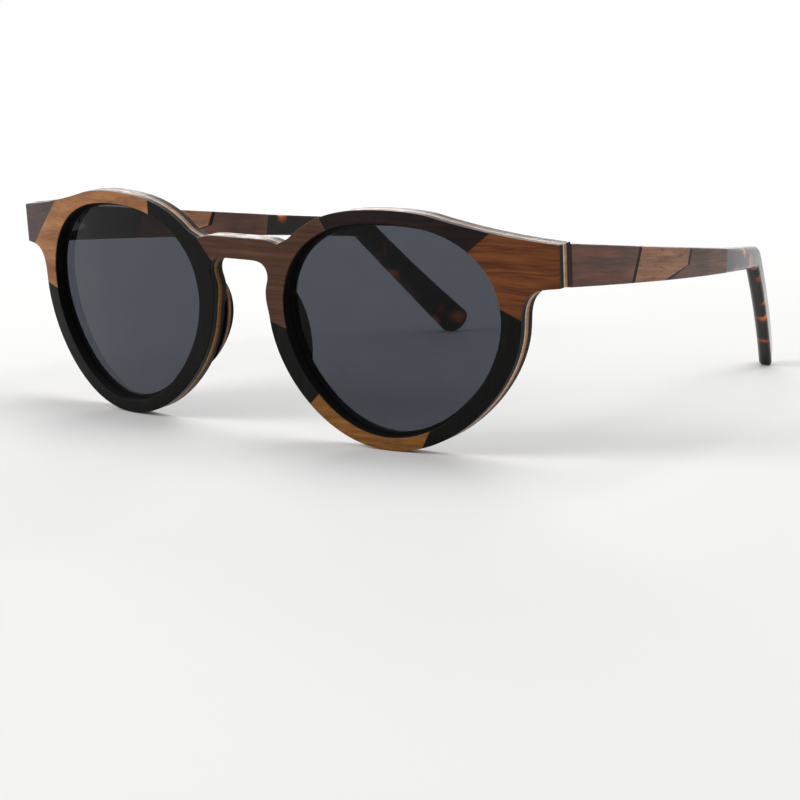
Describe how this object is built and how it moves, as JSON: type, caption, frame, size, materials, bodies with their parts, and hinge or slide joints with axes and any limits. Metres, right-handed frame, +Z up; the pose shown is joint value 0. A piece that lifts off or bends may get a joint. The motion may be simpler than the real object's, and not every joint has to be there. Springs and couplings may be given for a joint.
{
  "type": "wooden sunglasses",
  "caption": "Round keyhole-bridge sunglasses: laminated wood front with an inlaid veneer face, dark lenses, built-up nose pads, and folding wood temples with tortoiseshell tips.",
  "frame": {"origin": "on the ground under the middle of the glasses as they stand on their rim bottoms and temple tips", "axes": "+Z up, +Y back along the temples, -Y the way the face of the glasses looks, +X the wearer's left"},
  "size_m": [0.141, 0.1534, 0.0484],
  "materials": {
    "black_ply": "satin oiled",
    "light_ply": "satin oiled",
    "smoked_wood": "satin oiled",
    "tan_walnut": "satin oiled",
    "ebony": "satin oiled",
    "brown_walnut": "satin oiled",
    "red_brown_wood": "satin oiled",
    "zebrano": "satin oiled",
    "olive_wood": "satin oiled",
    "grey_lens": "polished",
    "hinge_steel": "brushed",
    "screw_steel": "turned",
    "rosewood": "satin oiled",
    "pale_walnut": "satin oiled",
    "tortoiseshell_acetate": "polished"
  },
  "bodies": {
    "front": {"front_ply": "black_ply", "mid_ply": "light_ply", "rear_ply": "black_ply", "inlay_left_end": "smoked_wood", "inlay_left_brow": "tan_walnut", "inlay_left_rim": "ebony", "inlay_bridge": "brown_walnut", "inlay_right_brow": "red_brown_wood", "inlay_right_end": "zebrano", "inlay_right_cheek": "ebony", "inlay_right_foot": "olive_wood", "inlay_right_nose": "ebony", "left_lens": "grey_lens", "right_lens": "grey_lens", "left_pad_body": "black_ply", "left_pad_ply": "light_ply", "left_pad_cap": "black_ply", "right_pad_body": "black_ply", "right_pad_ply": "light_ply", "right_pad_cap": "black_ply", "left_front_leaf": "hinge_steel", "right_front_leaf": "hinge_steel", "left_hinge_pin": "screw_steel", "right_hinge_pin": "screw_steel", "left_front_leaf_screws": "screw_steel", "right_front_leaf_screws": "screw_steel"},
    "left_temple": {"left_temple_leaf": "hinge_steel", "left_temple_leaf_screws": "screw_steel", "left_temple_root": "rosewood", "left_temple_middle": "pale_walnut", "left_temple_rear": "rosewood", "left_temple_tip": "tortoiseshell_acetate"},
    "right_temple": {"right_temple_leaf": "hinge_steel", "right_temple_leaf_screws": "screw_steel", "right_temple_root": "rosewood", "right_temple_middle": "pale_walnut", "right_temple_rear": "rosewood", "right_temple_tip": "tortoiseshell_acetate"}
  },
  "joints": [
    {"name": "right_temple_fold", "type": "hinge", "parent": "front", "child": "right_temple", "pos_m": [0.06348, -0.06102, 0.03856], "axis": [0, -0.0942, 0.9956], "range_deg": [0, 84]},
    {"name": "left_temple_fold", "type": "hinge", "parent": "front", "child": "left_temple", "pos_m": [-0.06348, -0.06102, 0.03856], "axis": [0, 0.0942, -0.9956], "range_deg": [0, 76]}
  ]
}
